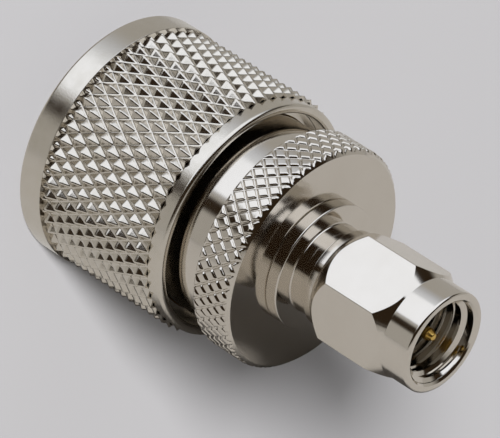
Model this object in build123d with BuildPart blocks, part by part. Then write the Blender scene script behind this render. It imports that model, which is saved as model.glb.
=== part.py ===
"""Coaxial adapter: a type N plug at the large end and an SMA plug at the small end, on one axis.

The adapter stands on the mouth of its large coupling nut, in millimetres. The origin is the centre of
that mouth, and +Z runs along the axis to the mouth of the small hexagonal coupling nut.
"""

from build123d import *
import os
from math import cos, pi, sin

# Large interface, type N plug
N_PIN_DIAMETER = 1.65
N_CONTACT_DIAMETER = 3.04
N_SLEEVE_BORE = 7.0
N_SLEEVE_WALL = 0.5
N_THREAD_MAJOR = 15.88
N_SEAT_DEPTH = 8.1
N_SHOULDER_DEPTH = 5.3
N_PIN_LENGTH = 4.0
N_GASKET_THICKNESS = 1.2
N_GASKET_STEP = 0.3
N_GASKET_LAND = 0.7
N_TIP_CHAMFER = 0.12
N_BEAD_SETBACK = 0.3

# Large coupling nut
MOUTH_BAND_LENGTH = 2.15
MOUTH_CHAMFER = 0.3
NUT_KNURL_LENGTH = 10.5
NUT_KNURL_COUNT = 52
NUT_KNURL_HALF_PITCH = 1.0
NUT_KNURL_DEPTH = 0.47
NUT_BAND_RISE = 0.05
KNURL_CORE = 0.2
LIP_LENGTH = 1.25
LIP_STEP = 0.12
LIP_WALL = 0.72
LIP_CHAMFER = 0.18
REAR_GAP = 0.7
REAR_RECESS = 1.5
JOURNAL_BEARING = 1.9

# Main body
JOURNAL_STEP = 0.24
JOURNAL_EXPOSED = 2.7
FLANGE_RISE = 0.93
FLANGE_THICKNESS = 3.3
FLANGE_CHAMFER = 0.36
JOURNAL_CHAMFER = 0.1
PRESS_WALL = 1.0
PRESS_COLLAR_WALL = 1.5
PRESS_COLLAR_LENGTH = 1.0
SPIGOT_WALL = 1.5
SPIGOT_INSET = 0.5
CONTACT_COLLAR_RISE = 0.5
CONTACT_COLLAR_LENGTH = 3.0
FLANGE_KNURL_COUNT = 50
FLANGE_KNURL_HALF_PITCH = 0.63
FLANGE_KNURL_DEPTH = 0.2
FLANGE_KNURL_FLAT = 0.66

# Small interface, SMA plug
SMA_PIN_DIAMETER = 0.93
SMA_CONTACT_DIAMETER = 1.27
SMA_DIELECTRIC = 4.13
SMA_SLEEVE_WALL = 0.23
SMA_THREAD_MAJOR = 6.35
SMA_PIN_LENGTH = 2.3
SMA_SLEEVE_RECESS = 3.2
SMA_SLEEVE_LENGTH = 3.0
SMA_GASKET_THICKNESS = 0.7
SMA_GASKET_STEP = 0.2

# Small body and its hexagonal coupling nut
COLLAR_RING_LENGTH = 1.0
COLLAR_RING_RISE = 1.4
COLLAR_RING_CHAMFER = 0.12
NECK_LENGTH = 1.42
NECK_WALL = 0.7
JOURNAL_WALL = 0.45
HEXAGON_ACROSS_FLATS = 8.0
HEXAGON_REAR = 2.0
HEXAGON_LENGTH = 4.35
HEXAGON_CHAMFER_SLOPE = 0.66
REAR_RIM_WALL = 0.9
FRONT_COLLAR_STEP = 0.13
FRONT_COLLAR_LENGTH = 3.45
FRONT_CHAMFER = 0.2
MOUTH_LEAD = 0.2

# Retaining rings
RING_THICKNESS = 0.65
RING_WIDTH = 0.8
SMALL_RING_THICKNESS = 0.4
SMALL_RING_WIDTH = 0.5
RING_BITE = 0.35
SMALL_RING_BITE = 0.22
RING_SLOT = 1.0

# Running and assembly clearances, on the radius or along the axis
RUNNING = 0.05
AXIAL_PLAY = 0.1
FITTED = 0.02
COMPRESSION_ROOM = 0.03
GASKET_ROOM = 0.3
SMALL_GASKET_ROOM = 0.15
GASKET_EDGE_ROOM = 0.1

# Radii of the large end, from the axis outwards
n_pin_r = N_PIN_DIAMETER / 2
n_contact_r = N_CONTACT_DIAMETER / 2
n_bore_r = N_SLEEVE_BORE / 2
n_sleeve_r = n_bore_r + N_SLEEVE_WALL
n_thread_r = N_THREAD_MAJOR / 2
journal_r = n_thread_r - JOURNAL_STEP
nut_bore_r = journal_r + RUNNING
recess_r = journal_r + REAR_GAP
lip_r = recess_r + LIP_WALL
nut_root_r = lip_r - LIP_STEP
nut_crest_r = nut_root_r + NUT_KNURL_DEPTH
nut_band_r = nut_crest_r + NUT_BAND_RISE
flange_r = journal_r + FLANGE_RISE
flange_root_r = flange_r - FLANGE_KNURL_DEPTH
ring_outer_r = journal_r + RING_BITE
ring_inner_r = ring_outer_r - RING_THICKNESS
nut_groove_r = ring_outer_r + RUNNING
body_groove_r = journal_r - RING_THICKNESS - COMPRESSION_ROOM

# Stations of the large end, from the mouth
lip_start_z = MOUTH_BAND_LENGTH + NUT_KNURL_LENGTH
nut_end_z = lip_start_z + LIP_LENGTH
recess_z = nut_end_z - REAR_RECESS
seat_z = recess_z - JOURNAL_BEARING
sleeve_tip_z = seat_z - N_SEAT_DEPTH
shoulder_z = sleeve_tip_z + N_SHOULDER_DEPTH
n_pin_tip_z = shoulder_z - N_PIN_LENGTH
flange_z = nut_end_z + JOURNAL_EXPOSED
face_z = flange_z + FLANGE_THICKNESS
relief_z = seat_z - GASKET_ROOM
ring_groove_z = (seat_z + recess_z - RING_WIDTH) / 2

# Radii of the small end
sma_pin_r = SMA_PIN_DIAMETER / 2
sma_contact_r = SMA_CONTACT_DIAMETER / 2
dielectric_r = SMA_DIELECTRIC / 2
sma_sleeve_r = dielectric_r + SMA_SLEEVE_WALL
sma_thread_r = SMA_THREAD_MAJOR / 2
small_journal_r = sma_sleeve_r + JOURNAL_WALL
small_bore_r = small_journal_r + RUNNING
neck_r = small_journal_r + NECK_WALL
collar_ring_r = neck_r + COLLAR_RING_RISE
rear_rim_r = small_bore_r + REAR_RIM_WALL
hex_flat_r = HEXAGON_ACROSS_FLATS / 2
hex_corner_r = hex_flat_r / cos(pi / 6)
front_collar_r = hex_flat_r - FRONT_COLLAR_STEP
small_ring_outer_r = small_journal_r + SMALL_RING_BITE
small_ring_inner_r = small_ring_outer_r - SMALL_RING_THICKNESS
small_nut_groove_r = small_ring_outer_r + RUNNING
small_body_groove_r = small_journal_r - SMALL_RING_THICKNESS - COMPRESSION_ROOM

# Stations of the small end
collar_ring_z = face_z + COLLAR_RING_LENGTH
neck_z = collar_ring_z + NECK_LENGTH
small_nut_z = neck_z + AXIAL_PLAY
hex_z = small_nut_z + HEXAGON_REAR
hex_end_z = hex_z + HEXAGON_LENGTH
top_z = hex_end_z + FRONT_COLLAR_LENGTH
sma_face_z = top_z - SMA_SLEEVE_RECESS
small_seat_z = sma_face_z - SMA_SLEEVE_LENGTH
small_relief_z = small_seat_z - SMALL_GASKET_ROOM
sma_pin_tip_z = sma_face_z + SMA_PIN_LENGTH
small_ring_z = (small_nut_z + small_relief_z - SMALL_RING_WIDTH) / 2

# Parts pressed into the main body
press_collar_r = n_bore_r + PRESS_COLLAR_WALL
press_collar_z = seat_z + PRESS_COLLAR_LENGTH
press_r = n_bore_r + PRESS_WALL
n_gasket_z = seat_z - N_GASKET_THICKNESS
n_gasket_seat_r = n_sleeve_r + N_GASKET_STEP
spigot_r = dielectric_r + SPIGOT_WALL
spigot_z = flange_z - SPIGOT_INSET
bead_shoulder_z = spigot_z - CONTACT_COLLAR_LENGTH
contact_collar_r = n_contact_r + CONTACT_COLLAR_RISE
small_gasket_z = small_seat_z + SMA_GASKET_THICKNESS
small_gasket_seat_r = sma_sleeve_r + SMA_GASKET_STEP


def half_section(points):
    """Draws the closed half section of a turned piece, as (radius, height) points."""
    with BuildLine() as outline:
        Polyline(*points, close=True)
    make_face(outline.edges())


def on_cylinder(radius, angle, height):
    """Gives the point at a radius, an angle in radians and a height."""
    return Vector(radius * cos(angle), radius * sin(angle), height)


def towards(start, end, share):
    """Gives the point a share of the way from start to end."""
    return start + (end - start) * share


def flat_face(*corners):
    """Makes the plane face with these corners."""
    return Face(Wire.make_polygon(corners, close=True))


def diamond_knurl(root_r, crest_r, count, low_z, half_pitch, half_rows, flat):
    """Makes a solid rod with crossed V grooves, which leave diamonds between them.

    The groove bottoms cross at the corners of each diamond. A flat of 0 leaves a sharp pyramid, and a
    flat of 0.6 leaves a plateau six tenths as wide as the diamond.
    """
    half_turn = pi / count
    apex_r = root_r + (crest_r - root_r) / (1 - flat)
    faces = []
    ends = {0: [], half_rows: []}
    for row in range(half_rows + 1):
        height = low_z + row * half_pitch
        for column in range(count):
            angle = (2 * column + row % 2) * half_turn
            outward = on_cylinder(1, angle, 0)
            apex = on_cylinder(apex_r, angle, height)
            sides = [
                on_cylinder(root_r, angle + half_turn, height),
                on_cylinder(root_r, angle, height + half_pitch),
                on_cylinder(root_r, angle - half_turn, height),
                on_cylinder(root_r, angle, height - half_pitch),
            ]
            plateau = [
                towards(apex, side, (apex_r - crest_r) / (apex_r - side.dot(outward))) for side in sides
            ]
            corners = {0: (0, 1, 2), half_rows: (2, 3, 0)}.get(row, (0, 1, 2, 3, 0))
            for corner, after in zip(corners, corners[1:]):
                top = [plateau[after], plateau[corner]] if flat else [apex]
                faces.append(flat_face(sides[corner], sides[after], *top))
            if flat:
                faces.append(flat_face(*[plateau[corner] for corner in corners[:4]]))
            if row in ends:
                ends[row] += [sides[2], plateau[2], plateau[0]] if flat else [sides[2], apex]
    faces += [flat_face(*rim) for rim in ends.values()]
    return Solid(Shell(faces))


def cover_rows(length, half_pitch):
    """Gives the half rows of diamonds that cover a length, rounded up."""
    return int(length / half_pitch) + 1


# Large coupling nut: plain band at the mouth, diamond knurl, plain lip and a bore in four steps
nut_rows = cover_rows(NUT_KNURL_LENGTH, NUT_KNURL_HALF_PITCH)
nut_knurl = diamond_knurl(
    nut_root_r,
    nut_crest_r,
    NUT_KNURL_COUNT,
    lip_start_z - nut_rows * NUT_KNURL_HALF_PITCH,
    NUT_KNURL_HALF_PITCH,
    nut_rows,
    0,
)
with BuildPart() as n_coupling_nut:
    with BuildSketch(Plane.XZ):
        half_section(
            [
                (0, 0),
                (nut_band_r - MOUTH_CHAMFER, 0),
                (nut_band_r, MOUTH_CHAMFER),
                (nut_band_r, MOUTH_BAND_LENGTH),
                (nut_root_r - KNURL_CORE, MOUTH_BAND_LENGTH),
                (nut_root_r - KNURL_CORE, lip_start_z),
                (lip_r, lip_start_z),
                (lip_r, nut_end_z - LIP_CHAMFER),
                (lip_r - LIP_CHAMFER, nut_end_z),
                (0, nut_end_z),
            ]
        )
    revolve(axis=Axis.Z)
    add(nut_knurl)
    with BuildSketch(Plane.XZ):
        half_section(
            [
                (0, 0),
                (n_thread_r + MOUTH_CHAMFER, 0),
                (n_thread_r, MOUTH_CHAMFER),
                (n_thread_r, relief_z),
                (nut_bore_r, relief_z),
                (nut_bore_r, ring_groove_z - RUNNING),
                (nut_groove_r, ring_groove_z - RUNNING),
                (nut_groove_r, ring_groove_z + RING_WIDTH + RUNNING),
                (nut_bore_r, ring_groove_z + RING_WIDTH + RUNNING),
                (nut_bore_r, recess_z),
                (recess_r, recess_z),
                (recess_r, nut_end_z - LIP_CHAMFER),
                (recess_r + LIP_CHAMFER, nut_end_z),
                (0, nut_end_z),
            ]
        )
    revolve(axis=Axis.Z, mode=Mode.SUBTRACT)

# Open spring ring that keeps the large nut on the body
with BuildPart() as n_retaining_ring:
    with BuildSketch(Plane.XY.offset(ring_groove_z)):
        Circle(ring_outer_r)
        Circle(ring_inner_r, mode=Mode.SUBTRACT)
        with Locations((ring_outer_r, 0)):
            Rectangle(2 * RING_THICKNESS + RING_SLOT, RING_SLOT, mode=Mode.SUBTRACT)
    extrude(amount=RING_WIDTH)

# Main body: journal for the large nut, knurled flange, and a stepped bore for what is pressed into it
flange_rows = round(FLANGE_THICKNESS / FLANGE_KNURL_HALF_PITCH)
flange_knurl = diamond_knurl(
    flange_root_r,
    flange_r,
    FLANGE_KNURL_COUNT,
    flange_z,
    FLANGE_THICKNESS / flange_rows,
    flange_rows,
    FLANGE_KNURL_FLAT,
)
with BuildPart() as main_body:
    with BuildSketch(Plane.XY.offset(flange_z)):
        RegularPolygon(
            flange_r + KNURL_CORE,
            2 * FLANGE_KNURL_COUNT,
            major_radius=False,
            rotation=90 / FLANGE_KNURL_COUNT,
        )
    extrude(amount=FLANGE_THICKNESS)
    chamfer(edges().group_by(Axis.Z)[-1], FLANGE_CHAMFER + KNURL_CORE)
    add(flange_knurl, mode=Mode.INTERSECT)
    with BuildSketch(Plane.XZ):
        half_section(
            [
                (0, seat_z),
                (journal_r - JOURNAL_CHAMFER, seat_z),
                (journal_r, seat_z + JOURNAL_CHAMFER),
                (journal_r, ring_groove_z - RUNNING),
                (body_groove_r, ring_groove_z - RUNNING),
                (body_groove_r, ring_groove_z + RING_WIDTH + RUNNING),
                (journal_r, ring_groove_z + RING_WIDTH + RUNNING),
                (journal_r, flange_z),
                (0, flange_z),
            ]
        )
    revolve(axis=Axis.Z)
    with BuildSketch(Plane.XZ):
        half_section(
            [
                (0, seat_z),
                (press_collar_r + FITTED, seat_z),
                (press_collar_r + FITTED, press_collar_z),
                (press_r + FITTED, press_collar_z),
                (press_r + FITTED, spigot_z),
                (spigot_r + FITTED, spigot_z),
                (spigot_r + FITTED, face_z),
                (0, face_z),
            ]
        )
    revolve(axis=Axis.Z, mode=Mode.SUBTRACT)

# Outer contact sleeve of the large end, pressed into the body
with BuildPart() as n_outer_contact:
    with BuildSketch(Plane.XZ):
        half_section(
            [
                (n_bore_r, sleeve_tip_z),
                (n_sleeve_r - N_TIP_CHAMFER, sleeve_tip_z),
                (n_sleeve_r, sleeve_tip_z + N_TIP_CHAMFER),
                (n_sleeve_r, n_gasket_z),
                (n_gasket_seat_r, n_gasket_z),
                (n_gasket_seat_r, seat_z),
                (press_collar_r, seat_z),
                (press_collar_r, press_collar_z),
                (press_r, press_collar_z),
                (press_r, spigot_z),
                (n_bore_r, spigot_z),
            ]
        )
    revolve(axis=Axis.Z)

# Flat sealing ring on the body's front face
with BuildPart() as n_gasket:
    with BuildSketch(Plane.XY.offset(n_gasket_z)):
        Circle(journal_r - N_GASKET_LAND)
        Circle(n_gasket_seat_r + RUNNING, mode=Mode.SUBTRACT)
    extrude(amount=N_GASKET_THICKNESS)

# Insulating bead of the large end
with BuildPart() as n_insulator:
    with BuildSketch(Plane.XZ):
        half_section(
            [
                (n_contact_r + FITTED, shoulder_z + N_BEAD_SETBACK),
                (n_bore_r - FITTED, shoulder_z + N_BEAD_SETBACK),
                (n_bore_r - FITTED, spigot_z),
                (contact_collar_r + FITTED, spigot_z),
                (contact_collar_r + FITTED, bead_shoulder_z),
                (n_contact_r + FITTED, bead_shoulder_z),
            ]
        )
    revolve(axis=Axis.Z)

# Centre contact, one turned piece with a pin at each end and a collar between the beads
with BuildPart() as centre_contact:
    with BuildSketch(Plane.XZ):
        half_section(
            [
                (0, n_pin_tip_z),
                (n_pin_r / 2, n_pin_tip_z),
                (n_pin_r, n_pin_tip_z + n_pin_r),
                (n_pin_r, shoulder_z),
                (n_contact_r, shoulder_z),
                (n_contact_r, bead_shoulder_z),
                (contact_collar_r, bead_shoulder_z),
                (contact_collar_r, spigot_z),
                (sma_contact_r, spigot_z),
                (sma_contact_r, sma_face_z),
                (sma_pin_r, sma_face_z),
                (sma_pin_r, sma_pin_tip_z - sma_pin_r),
                (sma_pin_r / 2, sma_pin_tip_z),
                (0, sma_pin_tip_z),
            ]
        )
    revolve(axis=Axis.Z)

# Insulator of the small end
with BuildPart() as sma_insulator:
    with BuildSketch(Plane.XY.offset(spigot_z)):
        Circle(dielectric_r - FITTED)
        Circle(sma_contact_r + FITTED, mode=Mode.SUBTRACT)
    extrude(amount=sma_face_z - spigot_z)

# Small body: spigot, ring, neck, nut journal with a ring groove, and the outer contact sleeve
with BuildPart() as sma_body:
    with BuildSketch(Plane.XZ):
        half_section(
            [
                (dielectric_r, spigot_z),
                (spigot_r, spigot_z),
                (spigot_r, face_z),
                (collar_ring_r - COLLAR_RING_CHAMFER, face_z),
                (collar_ring_r, face_z + COLLAR_RING_CHAMFER),
                (collar_ring_r, collar_ring_z - COLLAR_RING_CHAMFER),
                (collar_ring_r - COLLAR_RING_CHAMFER, collar_ring_z),
                (neck_r + COLLAR_RING_CHAMFER, collar_ring_z),
                (neck_r, collar_ring_z + COLLAR_RING_CHAMFER),
                (neck_r, neck_z),
                (small_journal_r, neck_z),
                (small_journal_r, small_ring_z - RUNNING),
                (small_body_groove_r, small_ring_z - RUNNING),
                (small_body_groove_r, small_ring_z + SMALL_RING_WIDTH + RUNNING),
                (small_journal_r, small_ring_z + SMALL_RING_WIDTH + RUNNING),
                (small_journal_r, small_seat_z),
                (small_gasket_seat_r, small_seat_z),
                (small_gasket_seat_r, small_gasket_z),
                (sma_sleeve_r, small_gasket_z),
                (sma_sleeve_r, sma_face_z),
                (dielectric_r, sma_face_z),
            ]
        )
    revolve(axis=Axis.Z)

# Hexagonal coupling nut, coned at both ends, with a round collar at its mouth
rear_cone_z = hex_z - (hex_corner_r - rear_rim_r) / HEXAGON_CHAMFER_SLOPE
front_cone_z = hex_end_z + (hex_corner_r - front_collar_r) / HEXAGON_CHAMFER_SLOPE
with BuildPart() as sma_coupling_nut:
    with BuildSketch(Plane.XY.offset(small_nut_z)):
        RegularPolygon(hex_flat_r, 6, major_radius=False)
    extrude(amount=top_z - small_nut_z)
    with BuildSketch(Plane.XZ):
        half_section(
            [
                (0, small_nut_z),
                (rear_rim_r, small_nut_z),
                (rear_rim_r, rear_cone_z),
                (hex_corner_r, hex_z),
                (hex_corner_r, hex_end_z),
                (front_collar_r, front_cone_z),
                (front_collar_r, top_z - FRONT_CHAMFER),
                (front_collar_r - FRONT_CHAMFER, top_z),
                (0, top_z),
            ]
        )
    revolve(axis=Axis.Z, mode=Mode.INTERSECT)
    with BuildSketch(Plane.XZ):
        half_section(
            [
                (0, small_nut_z),
                (small_bore_r, small_nut_z),
                (small_bore_r, small_ring_z - RUNNING),
                (small_nut_groove_r, small_ring_z - RUNNING),
                (small_nut_groove_r, small_ring_z + SMALL_RING_WIDTH + RUNNING),
                (small_bore_r, small_ring_z + SMALL_RING_WIDTH + RUNNING),
                (small_bore_r, small_relief_z),
                (sma_thread_r, small_relief_z),
                (sma_thread_r, top_z - MOUTH_LEAD),
                (sma_thread_r + MOUTH_LEAD, top_z),
                (0, top_z),
            ]
        )
    revolve(axis=Axis.Z, mode=Mode.SUBTRACT)

# Open spring ring that keeps the small nut on its journal
with BuildPart() as sma_retaining_ring:
    with BuildSketch(Plane.XY.offset(small_ring_z)):
        Circle(small_ring_outer_r)
        Circle(small_ring_inner_r, mode=Mode.SUBTRACT)
        with Locations((small_ring_outer_r, 0)):
            Rectangle(2 * SMALL_RING_THICKNESS + RING_SLOT, RING_SLOT, mode=Mode.SUBTRACT)
    extrude(amount=SMALL_RING_WIDTH)

# Sealing ring round the small sleeve
with BuildPart() as sma_gasket:
    with BuildSketch(Plane.XY.offset(small_seat_z)):
        Circle(sma_thread_r - GASKET_EDGE_ROOM)
        Circle(small_gasket_seat_r + RUNNING, mode=Mode.SUBTRACT)
    extrude(amount=SMA_GASKET_THICKNESS)

os.makedirs("parts", exist_ok=True)
n_coupling_nut.part.label = "n_coupling_nut"
export_step(n_coupling_nut.part, "parts/n_coupling_nut.step")
n_retaining_ring.part.label = "n_retaining_ring"
export_step(n_retaining_ring.part, "parts/n_retaining_ring.step")
main_body.part.label = "main_body"
export_step(main_body.part, "parts/main_body.step")
n_outer_contact.part.label = "n_outer_contact"
export_step(n_outer_contact.part, "parts/n_outer_contact.step")
n_gasket.part.label = "n_gasket"
export_step(n_gasket.part, "parts/n_gasket.step")
n_insulator.part.label = "n_insulator"
export_step(n_insulator.part, "parts/n_insulator.step")
centre_contact.part.label = "centre_contact"
export_step(centre_contact.part, "parts/centre_contact.step")
sma_insulator.part.label = "sma_insulator"
export_step(sma_insulator.part, "parts/sma_insulator.step")
sma_body.part.label = "sma_body"
export_step(sma_body.part, "parts/sma_body.step")
sma_coupling_nut.part.label = "sma_coupling_nut"
export_step(sma_coupling_nut.part, "parts/sma_coupling_nut.step")
sma_retaining_ring.part.label = "sma_retaining_ring"
export_step(sma_retaining_ring.part, "parts/sma_retaining_ring.step")
sma_gasket.part.label = "sma_gasket"
export_step(sma_gasket.part, "parts/sma_gasket.step")
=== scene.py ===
"""Looks of the coaxial adapter: bright nickel on turned brass, a gold pin and white insulators.

Every size is in millimetres where a class states it, and each mesh is written in metres, in the
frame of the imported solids. The adapter stands on the mouth of its large coupling nut.
"""

import logging
from dataclasses import dataclass, field
from enum import Enum
from math import atan2, cos, degrees, hypot, pi, radians, sin, tan

import bpy
from mathutils import Matrix, Vector

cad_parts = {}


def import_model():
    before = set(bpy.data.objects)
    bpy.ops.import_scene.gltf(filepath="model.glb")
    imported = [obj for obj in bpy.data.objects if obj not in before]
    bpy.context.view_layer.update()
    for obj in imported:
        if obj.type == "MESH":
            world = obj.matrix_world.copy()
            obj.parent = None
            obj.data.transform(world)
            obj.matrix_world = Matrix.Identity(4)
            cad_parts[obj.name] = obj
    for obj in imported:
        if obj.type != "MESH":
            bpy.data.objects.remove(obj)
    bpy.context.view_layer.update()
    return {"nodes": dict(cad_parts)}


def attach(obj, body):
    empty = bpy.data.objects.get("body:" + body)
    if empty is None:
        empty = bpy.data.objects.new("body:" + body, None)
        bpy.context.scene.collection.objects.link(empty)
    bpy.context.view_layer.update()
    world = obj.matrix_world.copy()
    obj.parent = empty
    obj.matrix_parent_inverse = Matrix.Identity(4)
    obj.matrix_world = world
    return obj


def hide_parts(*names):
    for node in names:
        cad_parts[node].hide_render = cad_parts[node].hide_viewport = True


LOG = logging.getLogger("adapter")
Tree = bpy.types.NodeTree
Socket = bpy.types.NodeSocket
Way = tuple[float, float, float]
Colour = tuple[float, float, float, float]
# The corners of a half section, each as radius, height and, where it isn't the usual one, edge.
Outline = tuple[tuple[float, ...], ...]

MM = 0.001
# Columns round a turned piece.
ROUND_SEGMENTS = 240
# Rounded corners: those below the small edge, in millimetres, are turned in coarse steps and the others in
# fine ones, in degrees. Each may use this share of its shorter side.
SMALL_EDGE = 0.08
FINE_STEP = 15
COARSE_STEP = 45
CORNER_ROOM = 0.45
# The radius, in millimetres, below which a point is on the axis, and the turn, in radians, below which an
# outline is straight.
ON_AXIS = 1e-6
STRAIGHT = 1e-4
# A thread's ridge: how deep its foot sits in the wall, in millimetres; its height and the half widths of its
# foot and top, as shares of the pitch; the steps of one turn, and those in which it fades at each end; and
# the angle, in degrees, above which its edges are sharp.
THREAD_SEAT = 0.02
THREAD_HEIGHT = 0.54
THREAD_FOOT = 0.44
THREAD_TOP = 0.1
THREAD_STEPS = 120
THREAD_FADE = 40
THREAD_SHARP = 25
# The span of a noise pattern in which nearly all of it lies.
NOISE_SPAN = (0.3, 0.7)
# A panel's mask: the least depth that a slope is divided by, and the depth over which the mask comes in.
LEAST_DEPTH = 0.001
HORIZON_BLEND = 0.03
# The colour sockets of a mix node, which share their names with its other sockets.
MIX_FIRST = 6
MIX_SECOND = 7
MIX_RESULT = 2


class Body(Enum):
    """The moving bodies of the adapter."""

    ADAPTER = "adapter"
    LARGE_NUT = "n_nut"
    SMALL_NUT = "sma_nut"


class Grain(Enum):
    """The way in which the tool left its marks on a surface."""

    TURNED = "turned"
    MOULDED = "moulded"


def linear(hex_colour: str) -> Colour:
    """Turns an sRGB hex colour into the linear colour that a shader takes.

    Args:
        hex_colour: Six hex digits, such as "C9C4BC".

    Returns:
        Red, green and blue in linear light, with an alpha of 1.
    """
    parts = [int(hex_colour[at : at + 2], 16) / 255 for at in (0, 2, 4)]
    red, green, blue = (
        part / 12.92 if part <= 0.04045 else ((part + 0.055) / 1.055) ** 2.4 for part in parts
    )
    return (red, green, blue, 1.0)


def add_node(
    tree: Tree,
    kind: str,
    settings: dict[str, object] | None = None,
    values: dict[str | int, object] | None = None,
    links: dict[str | int, Socket] | None = None,
) -> bpy.types.Node:
    """Adds one node to a tree with its settings, values and links.

    Args:
        tree: The material's or world's node tree.
        kind: Blender's name of the node type.
        settings: Properties of the node itself.
        values: Input sockets that hold a plain value.
        links: Input sockets that another node's output feeds.

    Returns:
        The new node.
    """
    node = tree.nodes.new(kind)
    for name, value in (settings or {}).items():
        setattr(node, name, value)
    for name, value in (values or {}).items():
        node.inputs[name].default_value = value
    for name, socket in (links or {}).items():
        tree.links.new(socket, node.inputs[name])
    return node


def maths(tree: Tree, operation: str, first: Socket, second: Socket | float | None = None) -> Socket:
    """Adds a node that calculates with one or two numbers.

    Args:
        tree: The material's or world's node tree.
        operation: Blender's name of the operation.
        first: The first number.
        second: The second number, plain or from a node, if there is one.

    Returns:
        The result.
    """
    plain = isinstance(second, float)
    links = {0: first} if plain or second is None else {0: first, 1: second}
    values = {1: second} if plain else {}
    return add_node(tree, "ShaderNodeMath", {"operation": operation}, values, links).outputs[0]


def ramp(tree: Tree, value: Socket, start: float, end: float, shape: str = "LINEAR") -> Socket:
    """Adds a node that goes from 0 to 1 while a value goes from one number to another.

    Args:
        tree: The world's node tree.
        value: The value.
        start: Where the result is 0.
        end: Where the result is 1.
        shape: Blender's name of the way between them.

    Returns:
        The result.
    """
    return add_node(
        tree,
        "ShaderNodeMapRange",
        settings={"interpolation_type": shape},
        values={"From Min": start, "From Max": end},
        links={"Value": value},
    ).outputs["Result"]


def noise(tree: Tree, place: Socket, width_mm: float, detail: float, roughness: float) -> Socket:
    """Adds a noise pattern with patches of a width in millimetres."""
    values = {"Scale": 1 / (width_mm * MM), "Detail": detail, "Roughness": roughness}
    return add_node(tree, "ShaderNodeTexNoise", values=values, links={"Vector": place}).outputs["Fac"]


@dataclass(frozen=True)
class Finish:
    """A material and the way in which its surface was made.

    Attributes:
        name: The finish in a maker's words.
        slot: The record's material slot; not used here.
        colour: The main colour, sRGB hex.
        shade: The colour of the duller patches, sRGB hex.
        metallic: 1 for a metal, 0 for the rest.
        roughness: The middle roughness.
        spread: How far the roughness wanders to each side.
        patch_mm: The width of a duller patch.
        mark_mm: The distance from one tool mark to the next.
        mark_depth: The depth of the tool marks, in millimetres.
        grain: How the tool moved.
        specular: The specular level of what isn't a metal.
    """

    name: str
    slot: str
    colour: str
    shade: str
    metallic: float
    roughness: float
    spread: float
    patch_mm: float
    mark_mm: float
    mark_depth: float
    grain: Grain
    specular: float = 0.5

    def material(self) -> bpy.types.Material:
        """Builds the finish as a node material.

        Returns:
            The material, made once and found again by its name.
        """
        known = bpy.data.materials.get(self.name)
        if known:
            return known
        made = bpy.data.materials.new(self.name)
        made.use_nodes = True
        tree = made.node_tree
        shader = tree.nodes["Principled BSDF"]
        shader.inputs["Metallic"].default_value = self.metallic
        if not self.metallic:
            shader.inputs["Specular IOR Level"].default_value = self.specular
        place = add_node(tree, "ShaderNodeTexCoord").outputs["Object"]
        patches = noise(tree, place, self.patch_mm, detail=3.0, roughness=0.55)
        tone = add_node(
            tree,
            "ShaderNodeMix",
            settings={"data_type": "RGBA"},
            values={MIX_FIRST: linear(self.colour), MIX_SECOND: linear(self.shade)},
            links={0: patches},
        )
        tree.links.new(tone.outputs[MIX_RESULT], shader.inputs["Base Color"])
        dullness = add_node(
            tree,
            "ShaderNodeMapRange",
            values={
                "From Min": NOISE_SPAN[0],
                "From Max": NOISE_SPAN[1],
                "To Min": self.roughness - self.spread,
                "To Max": self.roughness + self.spread,
            },
            links={"Value": patches},
        )
        tree.links.new(dullness.outputs["Result"], shader.inputs["Roughness"])
        draw = self.turned_marks if self.grain is Grain.TURNED else self.moulded_marks
        bump = add_node(
            tree,
            "ShaderNodeBump",
            values={"Strength": 1.0, "Distance": self.mark_depth * MM},
            links={"Height": draw(tree, place)},
        )
        tree.links.new(bump.outputs["Normal"], shader.inputs["Normal"])
        return made

    def turned_marks(self, tree: Tree, place: Socket) -> Socket:
        """Draws the fine rings that a lathe tool leaves round the axis.

        Args:
            tree: The material's node tree.
            place: The object coordinates.

        Returns:
            The height of the marks, 0 to 1.
        """
        split = add_node(tree, "ShaderNodeSeparateXYZ", links={"Vector": place}).outputs
        squares = [maths(tree, "MULTIPLY", split[axis], split[axis]) for axis in ("X", "Y")]
        distance = maths(tree, "SQRT", maths(tree, "ADD", *squares))
        section = add_node(tree, "ShaderNodeCombineXYZ", links={"X": distance, "Y": split["Z"]})
        return noise(tree, section.outputs["Vector"], self.mark_mm, detail=2.0, roughness=0.6)

    def moulded_marks(self, tree: Tree, place: Socket) -> Socket:
        """Draws the fine uneven skin of a moulded or pressed surface."""
        return noise(tree, place, self.mark_mm, detail=4.0, roughness=0.6)


# Bright nickel plate on turned brass: sharp, slightly warm reflections, broken by fine lathe rings.
TURNED_NICKEL = Finish(
    name="bright_nickel_turned", slot="nickel", colour="DAD4CB", shade="D0C9BE",
    metallic=1.0, roughness=0.09, spread=0.03, patch_mm=3.0,
    mark_mm=0.06, mark_depth=0.0012, grain=Grain.TURNED,
)
# The same plate over a rolled knurl: each facet is smooth, and its colour wanders a little.
KNURLED_NICKEL = Finish(
    name="bright_nickel_knurled", slot="nickel", colour="DAD4CB", shade="CDC6B9",
    metallic=1.0, roughness=0.17, spread=0.05, patch_mm=1.1,
    mark_mm=0.12, mark_depth=0.004, grain=Grain.MOULDED,
)
# Gold plate on the contact: a pale warm yellow glint with a soft edge.
TURNED_GOLD = Finish(
    name="gold_plate_turned", slot="gold", colour="DDBB6C", shade="CAA552",
    metallic=1.0, roughness=0.2, spread=0.04, patch_mm=0.9,
    mark_mm=0.05, mark_depth=0.001, grain=Grain.TURNED,
)
# Drawn phosphor bronze: duller and redder than gold.
SPRING_BRONZE = Finish(
    name="spring_bronze_drawn", slot="spring_bronze", colour="B58A4C", shade="8F6A38",
    metallic=1.0, roughness=0.32, spread=0.06, patch_mm=1.5,
    mark_mm=0.08, mark_depth=0.002, grain=Grain.MOULDED,
)
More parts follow.
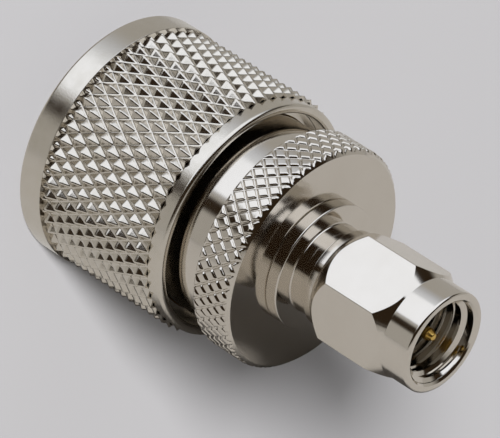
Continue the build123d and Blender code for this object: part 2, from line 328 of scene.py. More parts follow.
# Turned PTFE: milky white with hardly any shine.
TURNED_PTFE = Finish(
    name="ptfe_turned", slot="ptfe", colour="EDECE7", shade="E2E0D9",
    metallic=0.0, roughness=0.42, spread=0.05, patch_mm=2.0,
    mark_mm=0.09, mark_depth=0.003, grain=Grain.TURNED, specular=0.4,
)
# Moulded silicone rubber: brick red and matt.
MOULDED_SILICONE = Finish(
    name="silicone_moulded", slot="silicone", colour="A23D2C", shade="8E3425",
    metallic=0.0, roughness=0.6, spread=0.06, patch_mm=1.2,
    mark_mm=0.07, mark_depth=0.004, grain=Grain.MOULDED, specular=0.35,
)


@dataclass(frozen=True)
class Corner:
    """A corner of a turned piece's half section, in millimetres.

    Attributes:
        radius: Distance from the axis.
        height: Height above the large nut's mouth.
        edge: Radius of the rounding that breaks the corner.
    """

    radius: float
    height: float
    edge: float = 0.03


def even_columns(count: int = ROUND_SEGMENTS) -> list[float]:
    """Gives the angles, in radians, of evenly spaced columns round the axis."""
    return [2 * pi * index / count for index in range(count)]


class Draft:
    """Collects rings of vertices and the faces between them, then becomes one mesh."""

    def __init__(self) -> None:
        """Starts an empty draft."""
        self.points: list[Vector] = []
        self.normals: list[Vector | None] = []
        self.faces: list[tuple[int, ...]] = []

    def ring(
        self,
        angles: list[float],
        radii: list[float],
        heights: list[float],
        slopes: list[tuple[float, float]] | None = None,
        turns: list[float] | None = None,
    ) -> list[int]:
        """Adds a ring of vertices.

        Args:
            angles: Angle of each vertex.
            radii: Distance of each vertex from the axis, in millimetres.
            heights: Height of each vertex, in millimetres.
            slopes: The normal of each vertex as (outwards, upwards), if it is known.
            turns: The angle that each normal points to, where it isn't the vertex's own.

        Returns:
            The numbers of the new vertices.
        """
        start = len(self.points)
        for index, (angle, radius, height) in enumerate(zip(angles, radii, heights)):
            self.points.append(Vector((radius * cos(angle), radius * sin(angle), height)) * MM)
            if slopes is None:
                self.normals.append(None)
                continue
            facing = angle if turns is None else turns[index]
            out, rise = slopes[index]
            self.normals.append(Vector((out * cos(facing), out * sin(facing), rise)).normalized())
        return list(range(start, len(self.points)))

    def bridge(self, lower: list[int], upper: list[int]) -> None:
        """Joins two rings of the same count with a band of quads, or a pole with a fan.

        Args:
            lower: The ring that comes first along the outline.
            upper: The ring that comes next.
        """
        count = max(len(lower), len(upper))
        for index in range(count):
            after = (index + 1) % count
            if len(lower) == 1:
                self.faces.append((lower[0], upper[after], upper[index]))
            elif len(upper) == 1:
                self.faces.append((lower[index], lower[after], upper[0]))
            else:
                self.faces.append((lower[index], lower[after], upper[after], upper[index]))

    def outline(self, outline: Outline, angles: list[float], closed: bool) -> tuple[list[int], list[int]]:
        """Turns an outline round the axis, with each corner rounded off.

        Args:
            outline: The outline, with the solid on its left.
            angles: The columns round the axis.
            closed: Whether the last corner runs on to the first.

        Returns:
            The first and the last ring.
        """
        rings: list[list[int]] = []
        for radius, height, out, rise in rounded(outline, closed):
            if radius < ON_AXIS:
                self.points.append(Vector((0, 0, height)) * MM)
                self.normals.append(Vector((0, 0, 1 if rise > 0 else -1)))
                rings.append([len(self.points) - 1])
                continue
            count = len(angles)
            rings.append(self.ring(angles, [radius] * count, [height] * count, [(out, rise)] * count))
        for lower, upper in zip(rings, rings[1:]):
            self.bridge(lower, upper)
        if closed:
            self.bridge(rings[-1], rings[0])
        return rings[0], rings[-1]

    def build(self, name: str, finish: Finish, body: Body) -> bpy.types.Object:
        """Makes the mesh object, dresses it and lets it ride on its body.

        Args:
            name: The piece's name.
            finish: What it is made of.
            body: The body that it moves with.

        Returns:
            The new object.
        """
        mesh = bpy.data.meshes.new(name)
        mesh.from_pydata([tuple(point) for point in self.points], [], self.faces)
        mesh.update()
        mesh.shade_smooth()
        averaged = [vertex.normal.copy() for vertex in mesh.vertices]
        normals = [exact or average for exact, average in zip(self.normals, averaged)]
        mesh.normals_split_custom_set_from_vertices([tuple(normal) for normal in normals])
        piece = bpy.data.objects.new(name, mesh)
        bpy.context.scene.collection.objects.link(piece)
        mesh.materials.append(finish.material())
        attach(piece, body.value)
        return piece


def rounded(outline: Outline, closed: bool) -> list[tuple[float, float, float, float]]:
    """Rounds the corners of an outline and gives each point its exact normal.

    Args:
        outline: The outline, with the solid on its left.
        closed: Whether the last corner runs on to the first.

    Returns:
        Radius, height, and the outward and upward parts of the normal, for each point.
    """
    corners = [Corner(*row) for row in outline]
    count = len(corners)
    points: list[tuple[float, float, float, float]] = []
    for index, corner in enumerate(corners):
        here = Vector((corner.radius, corner.height))
        if not closed and index in (0, count - 1):
            other = corners[1] if index == 0 else corners[count - 2]
            way = Vector((other.radius, other.height)) - here
            way = way.normalized() * (1 if index == 0 else -1)
            points.append((here.x, here.y, way.y, -way.x))
            continue
        before = Vector((corners[index - 1].radius, corners[index - 1].height))
        ahead = corners[(index + 1) % count]
        after = Vector((ahead.radius, ahead.height))
        come, leave = (here - before), (after - here)
        room = CORNER_ROOM * min(come.length, leave.length)
        come.normalize()
        leave.normalize()
        turn = atan2(come.x * leave.y - come.y * leave.x, come.dot(leave))
        if abs(turn) < STRAIGHT:
            continue
        setback = min(corner.edge * tan(abs(turn) / 2), room)
        edge = setback / tan(abs(turn) / 2)
        start_normal = Vector((come.y, -come.x))
        side = 1 if turn > 0 else -1
        centre = here - come * setback - start_normal * edge * side
        widest = COARSE_STEP if edge < SMALL_EDGE else FINE_STEP
        steps = max(2, round(abs(degrees(turn)) / widest))
        for step in range(steps + 1):
            angle = turn * step / steps
            normal = Vector(
                (
                    start_normal.x * cos(angle) - start_normal.y * sin(angle),
                    start_normal.x * sin(angle) + start_normal.y * cos(angle),
                )
            )
            point = centre + normal * edge * side
            points.append((point.x, point.y, normal.x, normal.y))
    return points


@dataclass(frozen=True)
class Knurl:
    """A band of crossed V grooves, in millimetres.

    Attributes:
        root: Radius at the bottom of the grooves.
        crest: Radius at the top of the diamonds.
        count: Diamonds round the band.
        half_pitch: Half the length of a diamond along the axis.
        apex_height: Height of one diamond's middle, at angle 0.
        flat: Width of the plateau as a share of the diamond.
        fineness: Cells in half a diamond.
    """

    root: float
    crest: float
    count: int
    half_pitch: float
    apex_height: float
    flat: float
    fineness: int

    def angles(self) -> list[float]:
        """Gives the columns, of which two to a diamond lie on its ridge and its corner."""
        return even_columns(self.count * 2 * self.fineness)

    def offsets(self, angle: float, height: float) -> tuple[float, float]:
        """Tells where a point lies in its diamond.

        Args:
            angle: Direction from the axis, in radians.
            height: Height above the large nut's mouth.

        Returns:
            Its distance from the middle across the left-hand and right-hand grooves, -0.5 to 0.5.
        """
        around = angle * self.count / (2 * pi)
        along = (height - self.apex_height) / (2 * self.half_pitch)
        return around + along - round(around + along), around - along - round(around - along)

    def radius(self, angle: float, height: float) -> float:
        """Gives the surface's distance from the axis.

        Args:
            angle: Direction from the axis, in radians.
            height: Height above the large nut's mouth.

        Returns:
            The radius in millimetres.
        """
        left, right = self.offsets(angle, height)
        rise = (1 - 2 * max(abs(left), abs(right))) / (1 - self.flat)
        return self.root + (self.crest - self.root) * min(rise, 1.0)

    def splits_forward(self, angle: float, height: float) -> bool:
        """Tells whether a cell's diagonal to the upper right, and not the other, follows the groove."""
        left, right = self.offsets(angle, height)
        return left * left < right * right

    def cover(self, draft: Draft, heights: list[float], limit: list[float]) -> tuple[list[int], list[int]]:
        """Lays the knurled skin over a stretch of the axis.

        Args:
            draft: The draft that takes the skin.
            heights: Heights of the rows, from the bottom up.
            limit: The largest radius at each row.

        Returns:
            The lowest and the highest ring.
        """
        angles = self.angles()
        count = len(angles)
        rows = []
        for height, most in zip(heights, limit):
            radii = [min(self.radius(angle, height), most) for angle in angles]
            rows.append(draft.ring(angles, radii, [height] * count))
        for index, (lower, upper) in enumerate(zip(rows, rows[1:])):
            middle = (heights[index] + heights[index + 1]) / 2
            for column in range(count):
                after = (column + 1) % count
                low_left, low_right = lower[column], lower[after]
                high_left, high_right = upper[column], upper[after]
                if self.splits_forward(angles[column] + pi / count, middle):
                    draft.faces.append((low_left, low_right, high_right))
                    draft.faces.append((low_left, high_right, high_left))
                else:
                    draft.faces.append((low_left, low_right, high_left))
                    draft.faces.append((low_right, high_right, high_left))
        return rows[0], rows[-1]


def copy_ring(draft: Draft, ring: list[int], rise: float) -> list[int]:
    """Repeats a ring with a normal along the axis, so that a wall meets it at a crisp edge.

    Args:
        draft: The draft that holds the ring.
        ring: The ring to repeat.
        rise: 1 for a wall that faces up, -1 for one that faces down.

    Returns:
        The new ring.
    """
    start = len(draft.points)
    for number in ring:
        draft.points.append(draft.points[number].copy())
        draft.normals.append(Vector((0, 0, rise)))
    return list(range(start, len(draft.points)))


@dataclass(frozen=True)
class ThreadRidge:
    """The ridge of an inside thread, which stands on the wall of a plain bore.

    Attributes:
        name: The piece's name.
        major: Radius of the bore that carries the ridge.
        pitch: Rise of one turn.
        low: Height of the ridge's start.
        high: Height of its end.
    """

    name: str
    major: float
    pitch: float
    low: float
    high: float

    def build(self, finish: Finish, body: Body) -> bpy.types.Object:
        """Sweeps the ridge along its helix.

        Args:
            finish: What it is made of.
            body: The body that it moves with.

        Returns:
            The ridge.
        """
        wall = self.major + THREAD_SEAT
        crest = self.major - THREAD_HEIGHT * self.pitch
        section = [(wall, -THREAD_FOOT), (crest, -THREAD_TOP), (crest, THREAD_TOP), (wall, THREAD_FOOT)]
        count = int((self.high - self.low) / self.pitch * THREAD_STEPS)
        draft = Draft()
        rings: list[list[int]] = []
        for index in range(count + 1):
            angle = 2 * pi * index / THREAD_STEPS
            fade = min(1.0, index / THREAD_FADE, (count - index) / THREAD_FADE)
            radii = [wall + (radius - wall) * fade for radius, _ in section]
            heights = [self.low + self.pitch * (index / THREAD_STEPS + share) for _, share in section]
            rings.append(draft.ring([angle] * len(section), radii, heights))
        for here, ahead in zip(rings, rings[1:]):
            for side in range(len(section)):
                other = (side + 1) % len(section)
                draft.faces.append((here[side], here[other], ahead[other], ahead[side]))
        draft.faces.append(tuple(reversed(rings[0])))
        draft.faces.append(tuple(rings[-1]))
        piece = draft.build(self.name, finish, body)
        piece.data.set_sharp_from_angle(angle=radians(THREAD_SHARP))
        return piece


def turned(name: str, node: str, outline: Outline, finish: Finish, body: Body) -> bpy.types.Object:
    """Turns a closed ring-shaped section into the piece that stands for a CAD node.

    Args:
        name: The piece's name.
        node: The CAD node that it replaces.
        outline: The half section, with the solid on its left.
        finish: What it is made of.
        body: The body that it moves with.

    Returns:
        The new piece.
    """
    draft = Draft()
    draft.outline(outline, even_columns(), all(row[0] > 0 for row in outline))
    piece = draft.build(name, finish, body)
    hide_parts(node)
    return piece


def knurled(knurl: Knurl, heights: list[float], limit: list[float], outline: Outline, below: int) -> Draft:
    """Joins a knurled band to the outline that runs on from its upper edge to its lower one.

    Args:
        knurl: The knurl.
        heights: Heights of its rows, from the bottom up.
        limit: The largest radius at each row.
        outline: The rest of the half section, with the solid on its left.
        below: 1 if the wall at the band's lower edge faces up, -1 if it faces down.

    Returns:
        The draft of the whole piece.
    """
    draft = Draft()
    low, high = knurl.cover(draft, heights, limit)
    first, last = draft.outline(outline, knurl.angles(), False)
    draft.bridge(copy_ring(draft, high, 1), first)
    draft.bridge(last, copy_ring(draft, low, below))
    return draft


# In the classes of the pieces, every size is in millimetres. A plain name such as band is a radius, and names
# with low, high, start, end, rear and top are heights above the large nut's mouth.


@dataclass
class LargeNut:
    """The large coupling nut, with its plain band, diamond knurl, lip and thread."""

    band: float = 9.52
    band_length: float = 2.15
    band_edge: float = 0.3
    root: float = 9.0
    crest: float = 9.47
    knurl_count: int = 52
    knurl_half_pitch: float = 1.0
    fineness: int = 6
    shoulder: float = 0.1
    step_edge: float = 0.05
    lip: float = 9.12
    lip_start: float = 12.65
    lip_foot_edge: float = 0.04
    lip_edge: float = 0.36
    end: float = 13.9
    recess: float = 8.4
    recess_edge: float = 0.3
    inside: Outline = (
        (8.4, 12.4, 0.05), (7.75, 12.4), (7.75, 11.9), (8.1, 11.9), (8.1, 11.0), (7.75, 11.0), (7.75, 10.2)
    )
    thread: float = 7.94
    thread_start: float = 10.2
    thread_pitch: float = 1.0583
    thread_low: float = 0.9
    thread_high: float = 7.4
    mouth_chamfer: float = 0.3
    pieces: list[bpy.types.Object] = field(default_factory=list)

    def build(self) -> None:
        """Makes the nut and its thread."""
        length = self.lip_start - self.band_length
        rows = round(length * self.fineness / self.knurl_half_pitch)
        heights = [self.band_length + length / rows * row for row in range(rows + 1)]
        knurl = Knurl(
            root=self.root,
            crest=self.crest,
            count=self.knurl_count,
            half_pitch=self.knurl_half_pitch,
            apex_height=self.lip_start - self.knurl_half_pitch,
            flat=0.0,
            fineness=self.fineness,
        )
        outline = (
            (self.lip - self.shoulder, self.lip_start),
            (self.lip, self.lip_start, self.lip_foot_edge),
            (self.lip, self.end, self.lip_edge),
            (self.recess, self.end, self.recess_edge),
            *self.inside,
            (self.thread, self.thread_start),
            (self.thread, self.mouth_chamfer),
            (self.thread + self.mouth_chamfer, 0.0),
            (self.band, 0.0, self.band_edge),
            (self.band, self.band_length, self.step_edge),
            (self.band - self.shoulder, self.band_length),
        )
        draft = knurled(knurl, heights, [self.crest] * len(heights), outline, 1)
        nut = draft.build("large_nut_shell", KNURLED_NICKEL, Body.LARGE_NUT)
        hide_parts("n_coupling_nut")
        ridge = ThreadRidge(
            "large_nut_thread", self.thread, self.thread_pitch, self.thread_low, self.thread_high
        )
        self.pieces = [nut, ridge.build(TURNED_NICKEL, Body.LARGE_NUT)]


@dataclass
class MainBody:
    """The main body, with the journal of the large nut and the knurled flange."""

    flange: float = 8.63
    flange_root: float = 8.43
    flange_low: float = 16.6
    flange_high: float = 19.9
    diamond_flat: float = 0.66
    knurl_count: int = 50
    half_rows: int = 5
    fineness: int = 6
    chamfer: float = 0.36
    rear_chamfer: float = 0.1
    shoulder: float = 0.05
    rear_shoulder: float = 0.3
    inside: Outline = ((3.62, 19.9), (3.62, 16.1), (4.52, 16.1), (4.52, 11.5), (5.02, 11.5), (5.02, 10.5))
    journal: Outline = (
        (7.7, 10.5, 0.1), (7.7, 11.0), (7.02, 11.0), (7.02, 11.9), (7.7, 11.9), (7.7, 16.6, 0.06)
    )
    pieces: list[bpy.types.Object] = field(default_factory=list)

    def build(self) -> None:
        """Makes the body with its knurl."""
        half_pitch = (self.flange_high - self.flange_low) / self.half_rows
        step = half_pitch / self.fineness
        heights = [self.flange_low + step * row for row in range(self.half_rows * self.fineness + 1)]
        limit = [
            min(
                self.flange,
                self.flange - self.rear_chamfer + (height - self.flange_low),
                self.flange - self.chamfer + (self.flange_high - height),
            )
            for height in heights
        ]
        knurl = Knurl(
            root=self.flange_root,
            crest=self.flange,
            count=self.knurl_count,
            half_pitch=half_pitch,
            apex_height=self.flange_low,
            flat=self.diamond_flat,
            fineness=self.fineness,
        )
        outline = (
            (self.flange - self.chamfer - self.shoulder, self.flange_high),
            *self.inside,
            *self.journal,
            (self.flange - self.rear_shoulder, self.flange_low),
        )
        draft = knurled(knurl, heights, limit, outline, -1)
        body = draft.build("main_body_shell", TURNED_NICKEL, Body.ADAPTER)
        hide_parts("main_body")
        self.pieces = [body]


@dataclass
class LargeInterface:
    """What the large nut surrounds: sleeve, gasket and insulator."""

    sleeve: Outline = (
        (3.5, 2.4, 0.12), (4.0, 2.4, 0.12), (4.0, 9.3), (4.3, 9.3), (4.3, 10.5),
        (5.0, 10.5), (5.0, 11.5), (4.5, 11.5), (4.5, 16.1), (3.5, 16.1),
    )
    gasket: Outline = ((4.35, 9.3, 0.1), (7.0, 9.3, 0.1), (7.0, 10.5, 0.1), (4.35, 10.5, 0.1))
    bead: Outline = ((1.54, 8.0), (3.48, 8.0, 0.05), (3.48, 16.1), (2.04, 16.1), (2.04, 13.1), (1.54, 13.1))
    pieces: list[bpy.types.Object] = field(default_factory=list)

    def build(self) -> None:
        """Makes the three pieces."""
        self.pieces = [
            turned("outer_contact_shell", "n_outer_contact", self.sleeve, TURNED_NICKEL, Body.ADAPTER),
            turned("gasket_ring", "n_gasket", self.gasket, MOULDED_SILICONE, Body.ADAPTER),
            turned("large_insulator_bead", "n_insulator", self.bead, TURNED_PTFE, Body.ADAPTER),
        ]


@dataclass
class CentreContact:
    """The turned contact with a pin at each end."""

    large_pin: Outline = ((0.0, 3.7), (0.4125, 3.7, 0.35), (0.825, 4.5, 0.5), (0.825, 7.7))
    middle: Outline = (
        (1.52, 7.7, 0.05), (1.52, 13.1), (2.02, 13.1), (2.02, 16.1), (0.635, 16.1), (0.635, 29.02)
    )
    small_pin: Outline = ((0.465, 29.02), (0.465, 30.85, 0.3), (0.2325, 31.32, 0.15), (0.0, 31.32))
    pieces: list[bpy.types.Object] = field(default_factory=list)

    def build(self) -> None:
        """Makes the contact."""
        outline = self.large_pin + self.middle + self.small_pin
        self.pieces = [turned("centre_contact_pin", "centre_contact", outline, TURNED_GOLD, Body.ADAPTER)]


@dataclass
class SmallBody:
    """The small body with its ring, neck, journal and sleeve, its insulator and its gasket."""

    spigot: Outline = ((2.065, 16.1), (3.565, 16.1), (3.565, 19.9))
    ring: Outline = ((4.845, 19.9, 0.12), (4.845, 20.9, 0.12))
    neck: Outline = ((3.445, 20.9, 0.14), (3.445, 22.32, 0.05))
    journal: Outline = (
        (2.745, 22.32), (2.745, 23.845), (2.315, 23.845), (2.315, 24.445), (2.745, 24.445), (2.745, 26.02)
    )
    sleeve: Outline = (
        (2.495, 26.02), (2.495, 26.72), (2.295, 26.72), (2.295, 29.02, 0.06), (2.065, 29.02, 0.06)
    )
    bead: Outline = ((0.655, 16.1), (2.045, 16.1), (2.045, 29.02, 0.04), (0.655, 29.02))
    gasket: Outline = ((2.545, 26.02, 0.08), (3.075, 26.02, 0.08), (3.075, 26.72, 0.08), (2.545, 26.72, 0.08))
    pieces: list[bpy.types.Object] = field(default_factory=list)

    def build(self) -> None:
        """Makes the three pieces."""
        shell = self.spigot + self.ring + self.neck + self.journal + self.sleeve
        self.pieces = [
            turned("small_body_shell", "sma_body", shell, TURNED_NICKEL, Body.ADAPTER),
            turned("small_insulator_bead", "sma_insulator", self.bead, TURNED_PTFE, Body.ADAPTER),
            turned("small_gasket_ring", "sma_gasket", self.gasket, MOULDED_SILICONE, Body.ADAPTER),
        ]


@dataclass
class SmallNut:
    """The hexagonal coupling nut, coned at both ends, with a round collar at its mouth."""

    rear: float = 22.42
    rear_edge: float = 0.08
    rim: float = 3.695
    flat: float = 4.0
    corner_edge: float = 0.12
    corner_steps: int = 4
    side_columns: int = 36
    hexagon_low: float = 24.42
    hexagon_high: float = 28.77
    slope: float = 0.66
    bevel: float = 0.035
    collar: float = 3.87
    collar_edge: float = 0.28
    top: float = 32.22
    mouth_edge: float = 0.15
    mouth_chamfer: float = 0.2
    chamfer_edge: float = 0.05
    inside: Outline = (
        (2.795, 25.87), (2.795, 24.445), (3.015, 24.445), (3.015, 23.845), (2.795, 23.845), (2.795, 22.42)
    )
    thread: float = 3.175
    thread_start: float = 25.87
    thread_pitch: float = 0.7056
    thread_low: float = 27.2
    thread_high: float = 31.8
    pieces: list[bpy.types.Object] = field(default_factory=list)

    def columns(self) -> list[tuple[float, float, float]]:
        """Gives the columns round the hexagon, close together at its rounded corners.

        Returns:
            Angle, radius of the hexagon there and direction of its normal, for each column.
        """
        found: list[tuple[float, float, float]] = []
        centre = (self.flat - self.corner_edge) / cos(pi / 6)
        half_side = (self.flat - self.corner_edge) * tan(pi / 6)
        for side in range(6):
            turn = side * pi / 3
            for step in range(self.corner_steps + 1):
                facing = turn + radians(60 * step / self.corner_steps - 30)
                x = centre * cos(turn) + self.corner_edge * cos(facing)
                y = centre * sin(turn) + self.corner_edge * sin(facing)
                found.append((atan2(y, x), hypot(x, y), facing))
            facing = turn + pi / 6
            for step in range(1, self.side_columns):
                along = half_side * (2 * step / self.side_columns - 1)
                x = self.flat * cos(facing) - along * sin(facing)
                y = self.flat * sin(facing) + along * cos(facing)
                found.append((atan2(y, x), hypot(x, y), facing))
        return found

    def hexagon(self, draft: Draft, rear_cone: float, front_cone: float) -> list[list[int]]:
        """Lays the rings of the hexagon and its two cones.

        Args:
            draft: The draft that takes the rings.
            rear_cone: Height at which the rear cone leaves the rim.
            front_cone: Height at which the front cone meets the collar.

        Returns:
            The rings from the rear to the front.
        """
        angles, sides, facings = (list(part) for part in zip(*self.columns()))
        count = len(angles)
        coned = [side - self.bevel * self.slope for side in sides]
        rings: list[list[int]] = []
        for radii, slant, turns in (
            ([self.rim] * count, -1, None),
            (coned, -1, None),
            (sides, -1, facings),
            (sides, 1, facings),
            (coned, 1, None),
            ([self.collar] * count, 1, None),
        ):
            start, foot = (front_cone, self.collar) if slant > 0 else (rear_cone, self.rim)
            lift = 0.0 if radii is coned else self.bevel
            heights = [start - slant * ((radius - foot) / self.slope + lift) for radius in radii]
            normal = (1.0, slant * self.slope) if turns is None else (1.0, 0.0)
            rings.append(draft.ring(angles, radii, heights, [normal] * count, turns))
        return rings

    def build(self) -> None:
        """Makes the nut and its thread."""
        angles = [angle for angle, _, _ in self.columns()]
        corner = self.flat / cos(pi / 6)
        rear_cone = self.hexagon_low - (corner - self.rim) / self.slope
        front_cone = self.hexagon_high + (corner - self.collar) / self.slope
        outline = (
            (self.collar, front_cone),
            (self.collar, self.top, self.collar_edge),
            (self.thread + self.mouth_chamfer, self.top, self.mouth_edge),
            (self.thread, self.top - self.mouth_chamfer, self.chamfer_edge),
            (self.thread, self.thread_start),
            *self.inside,
            (self.rim, self.rear, self.rear_edge),
            (self.rim, rear_cone),
        )
        draft = Draft()
        first, last = draft.outline(outline, angles, False)
        skin = [last, *self.hexagon(draft, rear_cone, front_cone), first]
        for lower, upper in zip(skin, skin[1:]):
            draft.bridge(lower, upper)
        nut = draft.build("small_nut_shell", TURNED_NICKEL, Body.SMALL_NUT)
        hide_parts("sma_coupling_nut")
        ridge = ThreadRidge(
            "small_nut_thread", self.thread, self.thread_pitch, self.thread_low, self.thread_high
        )
        self.pieces = [nut, ridge.build(TURNED_NICKEL, Body.SMALL_NUT)]


@dataclass
class SpringRings:
    """The two open spring rings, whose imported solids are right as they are."""

    nodes: tuple[str, str] = ("n_retaining_ring", "sma_retaining_ring")

    def dress(self, packed: dict[str, bpy.types.Object]) -> None:
        """Gives the rings their bronze.

        Args:
            packed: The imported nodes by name.
        """
        for node in self.nodes:
            for slot in packed[node].material_slots:
                slot.material = SPRING_BRONZE.material()


def glowing(hex_colour: str, level: float) -> Colour:
    """Gives the linear light of a coloured surface at a level of brightness, where 1 is white."""
    red, green, blue, _ = linear(hex_colour)
    return (red * level, green * level, blue * level, 1.0)


@dataclass(frozen=True)
class Panel:
    """A soft rectangle of light or shade on the studio's walls, as seen from the adapter.

    Attributes:
        facing: Direction in which the panel lies.
        across: Direction of its width.
        along: Direction of its height.
        across_range: Where it starts and ends, as a slope across its direction.
        along_range: Where it starts and ends, as a slope along its height.
        softness: Width of its blurred border, as a slope.
        colour: Its colour, sRGB hex.
        level: Its brightness, where 1 is white.
    """

    facing: Way
    across: Way
    along: Way
    across_range: tuple[float, float]
    along_range: tuple[float, float]
    softness: float
    colour: str
    level: float

    def paint(self, tree: Tree, view: Socket, under: Socket) -> Socket:
        """Lays the panel over what is painted so far.

        Args:
            tree: The world's node tree.
            view: The direction that is looked in.
            under: The light so far.

        Returns:
            The light with the panel.
        """
        product = {"operation": "DOT_PRODUCT"}
        ahead, aside, up = (
            add_node(tree, "ShaderNodeVectorMath", product, {1: way}, {0: view}).outputs["Value"]
            for way in (self.facing, self.across, self.along)
        )
        depth = maths(tree, "MAXIMUM", ahead, LEAST_DEPTH)
        mask = ramp(tree, ahead, 0.0, HORIZON_BLEND)
        for way, (low, high) in ((aside, self.across_range), (up, self.along_range)):
            slope = maths(tree, "DIVIDE", way, depth)
            for start, end in ((low, low + self.softness), (high, high - self.softness)):
                mask = maths(tree, "MULTIPLY", mask, ramp(tree, slope, start, end, "SMOOTHSTEP"))
        return add_node(
            tree,
            "ShaderNodeMix",
            settings={"data_type": "RGBA"},
            values={MIX_SECOND: glowing(self.colour, self.level)},
            links={0: mask, MIX_FIRST: under},
        ).outputs[MIX_RESULT]


@dataclass(frozen=True)
class Sheet:
    """A flat square sheet of the studio with a matt surface.

    Attributes:
        name: The sheet's name.
        surface: What its surface is.
        colour: Its colour, sRGB hex.
        roughness: Its roughness.
        specular: Its specular level.
        reach: From its middle to each side, in millimetres.
        hidden_from: The kinds of ray that don't see it.
    """

    name: str
    surface: str
    colour: str
    roughness: float
    specular: float
    reach: float
    hidden_from: tuple[str, ...]

    def lay(self, middle: Vector, first: Vector, second: Vector) -> bpy.types.Object:
        """Lays the sheet.

        Args:
            middle: Its middle, in millimetres.
            first: Direction of its first side.
            second: Direction of its other side.

        Returns:
            The sheet.
        """
        corners = [
            (middle + first * (one * self.reach) + second * (other * self.reach)) * MM
            for one, other in ((-1, -1), (1, -1), (1, 1), (-1, 1))
        ]
        mesh = bpy.data.meshes.new(self.name)
        mesh.from_pydata([tuple(corner) for corner in corners], [], [(0, 1, 2, 3)])
        sheet = bpy.data.objects.new(self.name, mesh)
        for ray in self.hidden_from:
            setattr(sheet, f"visible_{ray}", False)
        bpy.context.scene.collection.objects.link(sheet)
        made = bpy.data.materials.new(self.surface)
        made.use_nodes = True
        shader = made.node_tree.nodes["Principled BSDF"]
        shader.inputs["Base Color"].default_value = linear(self.colour)
        shader.inputs["Roughness"].default_value = self.roughness
        shader.inputs["Specular IOR Level"].default_value = self.specular
        mesh.materials.append(made)
        return sheet


# Matt laminate: a plain pale grey with no shine. Its gloss and shadow rays are left out, so that the metal
# mirrors the walls below the table's edge.
TABLE = Sheet("table_top", "table_laminate_matt", "9E9D9F", 1.0, 0.0, 1500.0, ("glossy", "shadow"))
# Matt board: a darker grey. Only the metal's reflections see it, with the adapter's own shadow on it.
CARD = Sheet(
    "reflector_card", "card_matt", "8B8986", 0.9, 0.1, 400.0, ("camera", "diffuse", "transmission", "shadow")
)


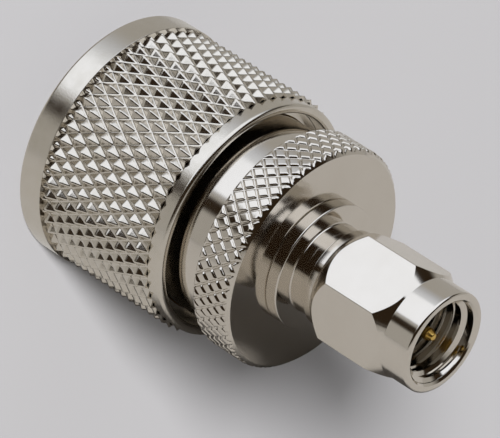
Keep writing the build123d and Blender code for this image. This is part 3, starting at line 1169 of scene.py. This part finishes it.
@dataclass
class Studio:
    """The table, the reflector card, a lamp for each of them, the surroundings and the camera.

    The photograph's adapter lies on its side, so the photograph's up, right and towards are tilted
    against the standing adapter's own axes. Places and sizes are in millimetres, powers in watts.
    """

    above: Way = (0.571, -0.818, -0.062)
    right: Way = (-0.550, -0.438, 0.711)
    left: Way = (0.550, 0.438, -0.711)
    nearer: Way = (0.609, 0.371, 0.701)
    far: float = 60.0
    wall_colour: str = "FFFCF6"
    wall_level: float = 0.45
    dark_colour: str = "FFD2A0"
    dark_level: float = 0.03
    box_colour: str = "EEF4FF"
    card_distance: float = 9.6
    camera_place: Way = (257.436, -51.601, 181.012)
    camera_target: Way = (2.790, -0.624, 15.419)
    camera_roll: float = -122.525
    camera_lens: float = 318.86
    camera_sensor: float = 36.0
    camera_nearest: float = 10.0
    camera_farthest: float = 10000.0
    table_lamp_place: Way = (2418.0, -879.0, 1545.0)
    table_lamp_size: float = 630.0
    table_lamp_power: float = 240.0
    card_lamp_distance: float = 600.0
    card_lamp_size: float = 190.0
    card_lamp_power: float = 6.2

    def build(self) -> None:
        """Sets up everything round the adapter."""
        self.surroundings()
        table = TABLE.lay(Vector((0, 0, 0)), Vector((1, 0, 0)), Vector((0, 1, 0)))
        place = Vector(self.table_lamp_place)
        self.lamp("table_lamp", place, self.table_lamp_size, self.table_lamp_power, table)
        up, aside = Vector(self.above), Vector(self.right)
        card = CARD.lay(up * -self.card_distance, up.cross(aside), aside)
        self.lamp("card_lamp", up * self.card_lamp_distance, self.card_lamp_size, self.card_lamp_power, card)
        self.camera()

    def panels(self) -> tuple[Panel, ...]:
        """Gives the panels from the photograph's reflections, the later ones in front."""
        far = self.far
        dark = {"colour": self.dark_colour, "level": self.dark_level}
        box = {"facing": self.above, "across": self.right, "along": self.nearer, "colour": self.box_colour}
        return (
            # The room's dark sides: the photographer's, the right one and a strip on the left.
            Panel(self.nearer, self.right, self.above, (-1.6, far), (0.0, far), softness=0.2, **dark),
            Panel(self.right, self.nearer, self.above, (-1.2, far), (0.25, far), softness=0.3, **dark),
            Panel(self.left, self.nearer, self.above, (-far, far), (0.45, 0.86), softness=0.12, **dark),
            # The softbox overhead, in three layers that brighten from its far edge to its near one.
            Panel(across_range=(-1.25, 1.2), along_range=(-1.15, 0.67), softness=0.5, level=0.68, **box),
            Panel(across_range=(-1.15, 1.1), along_range=(-0.85, 0.67), softness=0.4, level=1.0, **box),
            Panel(across_range=(-1.08, 1.02), along_range=(-0.56, 0.66), softness=0.1, level=1.4, **box),
        )

    def surroundings(self) -> None:
        """Paints the studio walls: grey, dark openings and the softbox over the adapter."""
        world = bpy.data.worlds.new("studio_walls")
        bpy.context.scene.world = world
        world.use_nodes = True
        tree = world.node_tree
        tree.nodes.clear()
        view = add_node(tree, "ShaderNodeTexCoord").outputs["Generated"]
        light = add_node(tree, "ShaderNodeRGB").outputs[0]
        light.default_value = glowing(self.wall_colour, self.wall_level)
        for panel in self.panels():
            light = panel.paint(tree, view, light)
        glow = add_node(tree, "ShaderNodeBackground", values={"Strength": 1.0}, links={"Color": light})
        add_node(tree, "ShaderNodeOutputWorld", links={"Surface": glow.outputs["Background"]})

    def lamp(self, name: str, place: Vector, size: float, power: float, lit: bpy.types.Object) -> None:
        """Adds a round lamp that lights one thing alone and casts the adapter's soft shadow on it.

        Args:
            name: The lamp's name.
            place: Where it hangs.
            size: Its diameter.
            power: Its power.
            lit: The thing that it lights.
        """
        light = bpy.data.lights.new(name, "AREA")
        light.shape = "DISK"
        light.size = size * MM
        light.energy = power
        lamp = bpy.data.objects.new(name, light)
        lamp.location = place * MM
        lamp.rotation_euler = (-lamp.location).to_track_quat("-Z", "Y").to_euler()
        reached = bpy.data.collections.new(f"lit_by_{name}")
        reached.objects.link(lit)
        lamp.light_linking.receiver_collection = reached
        bpy.context.scene.collection.objects.link(lamp)

    def camera(self) -> None:
        """Places the camera as the photograph's was, rolled so that the adapter lies across the picture."""
        lens = bpy.data.cameras.new("photo_camera")
        lens.lens = self.camera_lens
        lens.sensor_width = self.camera_sensor
        lens.clip_start = self.camera_nearest * MM
        lens.clip_end = self.camera_farthest * MM
        place = Vector(self.camera_place) * MM
        forward = (Vector(self.camera_target) * MM - place).normalized()
        side = forward.cross(Vector((0, 0, 1))).normalized()
        level = side.cross(forward)
        roll = radians(self.camera_roll)
        up = level * cos(roll) + side * sin(roll)
        right = forward.cross(up)
        turn = Matrix((right, up, -forward)).transposed()
        camera = bpy.data.objects.new("photo_camera", lens)
        camera.matrix_world = Matrix.Translation(place) @ turn.to_4x4()
        bpy.context.scene.collection.objects.link(camera)
        bpy.context.scene.camera = camera


def main() -> None:
    """Builds the studio and every piece of the adapter, and reports each."""
    logging.basicConfig(level=logging.INFO, format="%(name)s: %(message)s")
    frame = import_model()
    bpy.context.scene.view_settings.view_transform = "Standard"
    Studio().build()
    for assembly in (LargeNut(), MainBody(), LargeInterface(), CentreContact(), SmallBody(), SmallNut()):
        assembly.build()
        for piece in assembly.pieces:
            LOG.info("%s: %s has %d faces", type(assembly).__name__, piece.name, len(piece.data.polygons))
    SpringRings().dress(frame["nodes"])


if __name__ == "__main__":
    main()
